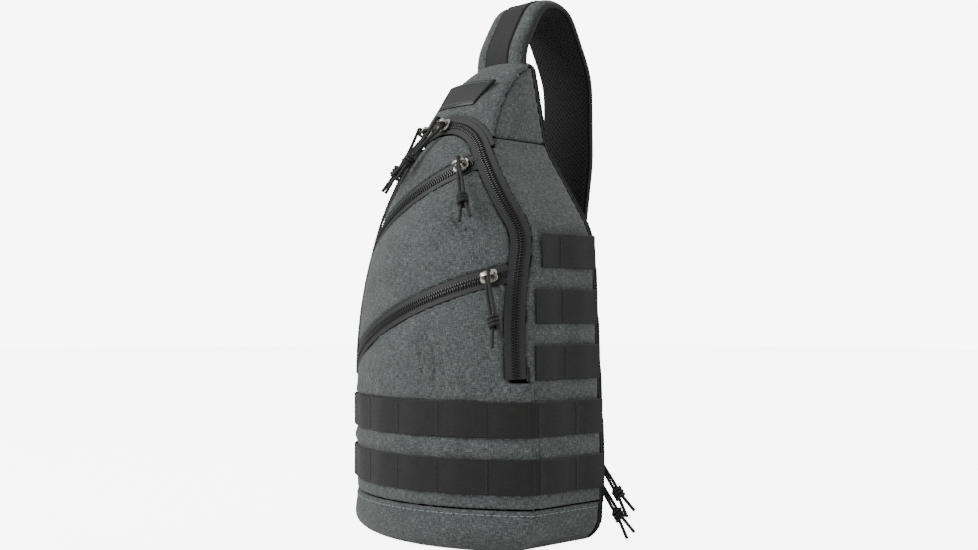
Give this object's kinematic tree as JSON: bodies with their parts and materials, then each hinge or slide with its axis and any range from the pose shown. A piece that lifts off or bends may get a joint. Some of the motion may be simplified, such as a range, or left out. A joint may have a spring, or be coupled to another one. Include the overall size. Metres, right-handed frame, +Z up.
{
  "type": "sling bag",
  "caption": "Tapered one-strap sling bag with a padded back, an arched front zip, slanting pocket zips, rows of lashing webbing and cord zipper pulls.",
  "frame": {"origin": "middle of the flat underside, half way between the front bulge and the back face", "axes": "+Z up along the height, -Y out of the front, +X to the right of someone facing the front"},
  "size_m": [0.2534, 0.1944, 0.4252],
  "materials": {
    "shell_fabric": "woven heather polyester, grey blue",
    "webbing": "flat black webbing",
    "zip_tape": "black coated zip tape and coil",
    "slider_metal": "satin nickel",
    "pull_cord": "black braided cord",
    "black_mesh": "black air mesh",
    "foam": "closed-cell foam",
    "buckle_plastic": "black moulded plastic",
    "label_patch": "plain black patch",
    "base_board": "stiffener board",
    "lining": "dark lining"
  },
  "bodies": {
    "bag": {"back_cover": "black_mesh", "back_foam": "foam", "back_zip": "zip_tape", "base_board": "base_board", "boot": "shell_fabric", "buckle_socket": "buckle_plastic", "corner_webbing": "webbing", "corner_wing": "shell_fabric", "label_patch": "label_patch", "lower_front_panel": "shell_fabric", "main_zip_body_half": "zip_tape", "rear_pocket_lining": "lining", "side_panel_left": "shell_fabric", "side_panel_right": "shell_fabric", "side_webbing_left_1": "webbing", "side_webbing_left_2": "webbing", "side_webbing_left_3": "webbing", "side_webbing_right_1": "webbing", "side_webbing_right_2": "webbing", "side_webbing_right_3": "webbing", "strap_cover": "shell_fabric", "strap_end": "shell_fabric", "strap_foam": "foam", "strap_lower_webbing": "webbing", "strap_mesh": "black_mesh", "strap_spine_webbing": "webbing", "webbing_row_lower": "webbing", "webbing_row_upper": "webbing", "yoke_front": "shell_fabric", "yoke_side_left": "shell_fabric", "yoke_side_right": "shell_fabric"},
    "flap": {"flap_panel_bottom": "shell_fabric", "flap_panel_middle": "shell_fabric", "flap_panel_top": "shell_fabric", "pocket_lining": "lining", "main_zip_flap_half": "zip_tape", "upper_pocket_zip": "zip_tape", "lower_pocket_zip": "zip_tape"},
    "main_slider_left": {"main_slider_left": "slider_metal"},
    "main_slider_right": {"main_slider_right": "slider_metal"},
    "upper_pocket_slider": {"upper_pocket_slider": "slider_metal"},
    "lower_pocket_slider": {"lower_pocket_slider": "slider_metal"},
    "back_slider_lower": {"back_slider_lower": "slider_metal"},
    "back_slider_upper": {"back_slider_upper": "slider_metal"},
    "main_pull_left": {"main_pull_left_cord": "pull_cord", "main_pull_left_knot": "pull_cord"},
    "main_pull_right": {"main_pull_right_cord": "pull_cord", "main_pull_right_knot": "pull_cord"},
    "upper_pocket_pull": {"upper_pocket_pull_cord": "pull_cord", "upper_pocket_pull_knot": "pull_cord"},
    "lower_pocket_pull": {"lower_pocket_pull_cord": "pull_cord", "lower_pocket_pull_knot": "pull_cord"},
    "back_pull_lower": {"back_pull_lower_cord": "pull_cord", "back_pull_lower_knot": "pull_cord"},
    "back_pull_upper": {"back_pull_upper_cord": "pull_cord", "back_pull_upper_knot": "pull_cord"},
    "buckle_plug": {"buckle_plug": "buckle_plastic"},
    "buckle_arm_a": {"buckle_arm_a": "buckle_plastic"},
    "buckle_arm_b": {"buckle_arm_b": "buckle_plastic"}
  },
  "joints": [
    {"name": "flap_hinge", "type": "hinge", "parent": "bag", "child": "flap", "pos_m": [0, -0.0595, 0.122], "axis": [1, 0, 0], "range_deg": [0, 90]},
    {"name": "main_slider_left_travel", "type": "hinge", "parent": "flap", "child": "main_slider_left", "pos_m": [0, -0.01358, 0.26899], "axis": [0, -0.9939, 0.1101], "range_deg": [0, 17.14]},
    {"name": "main_slider_right_travel", "type": "hinge", "parent": "flap", "child": "main_slider_right", "pos_m": [0, -0.01358, 0.26899], "axis": [0, 0.9939, -0.1101], "range_deg": [0, 44.24]},
    {"name": "lower_pocket_slider_travel", "type": "hinge", "parent": "flap", "child": "lower_pocket_slider", "pos_m": [0.00012, 0.09384, 0.1501], "axis": [0.3657, -0.1351, -0.9209], "range_deg": [0, 60.35]},
    {"name": "upper_pocket_slider_travel", "type": "hinge", "parent": "flap", "child": "upper_pocket_slider", "pos_m": [-0.01348, 0.10478, 0.23987], "axis": [0.437, -0.1274, -0.8904], "range_deg": [0, 41.47]},
    {"name": "back_slider_lower_travel", "type": "slide", "parent": "bag", "child": "back_slider_lower", "axis": [0, 0, -1], "range_m": [0, 0.012]},
    {"name": "back_slider_upper_travel", "type": "slide", "parent": "bag", "child": "back_slider_upper", "axis": [0, 0, 1], "range_m": [0, 0.13]},
    {"name": "main_pull_left_swing", "type": "hinge", "parent": "main_slider_left", "child": "main_pull_left", "pos_m": [-0.02312, -0.0154, 0.31269], "axis": [-0.8819, -0.052, -0.4686], "range_deg": [0, 90]},
    {"name": "main_pull_right_swing", "type": "hinge", "parent": "main_slider_right", "child": "main_pull_right", "pos_m": [-0.00344, -0.01507, 0.31806], "axis": [-0.9974, -0.0048, -0.0713], "range_deg": [0, 90]},
    {"name": "upper_pocket_pull_swing", "type": "hinge", "parent": "upper_pocket_slider", "child": "upper_pocket_pull", "pos_m": [0.03134, -0.02821, 0.28299], "axis": [-0.8446, -0.3975, -0.3586], "range_deg": [0, 90]},
    {"name": "lower_pocket_pull_swing", "type": "hinge", "parent": "lower_pocket_slider", "child": "lower_pocket_pull", "pos_m": [0.07322, -0.0385, 0.19845], "axis": [-0.8114, -0.5311, -0.2442], "range_deg": [0, 90]},
    {"name": "back_pull_lower_swing", "type": "hinge", "parent": "back_slider_lower", "child": "back_pull_lower", "pos_m": [0.082, 0.0665, 0.05], "axis": [0, 0, 1], "range_deg": [0, 90]},
    {"name": "back_pull_upper_swing", "type": "hinge", "parent": "back_slider_upper", "child": "back_pull_upper", "pos_m": [0.082, 0.0665, 0.066], "axis": [0, 0, 1], "range_deg": [0, 90]},
    {"name": "buckle_plug_slide", "type": "slide", "parent": "bag", "child": "buckle_plug", "axis": [0.6274, 0, 0.7787], "range_m": [0, 0.04]},
    {"name": "buckle_arm_a_flex", "type": "hinge", "parent": "buckle_plug", "child": "buckle_arm_a", "pos_m": [-0.06618, 0.07, 0.10613], "axis": [0, 1, 0], "range_deg": [0, 6], "stiffness_Nm_per_rad": 0.05},
    {"name": "buckle_arm_b_flex", "type": "hinge", "parent": "buckle_plug", "child": "buckle_arm_b", "pos_m": [-0.08253, 0.07, 0.11931], "axis": [0, -1, 0], "range_deg": [0, 6], "stiffness_Nm_per_rad": 0.05}
  ]
}
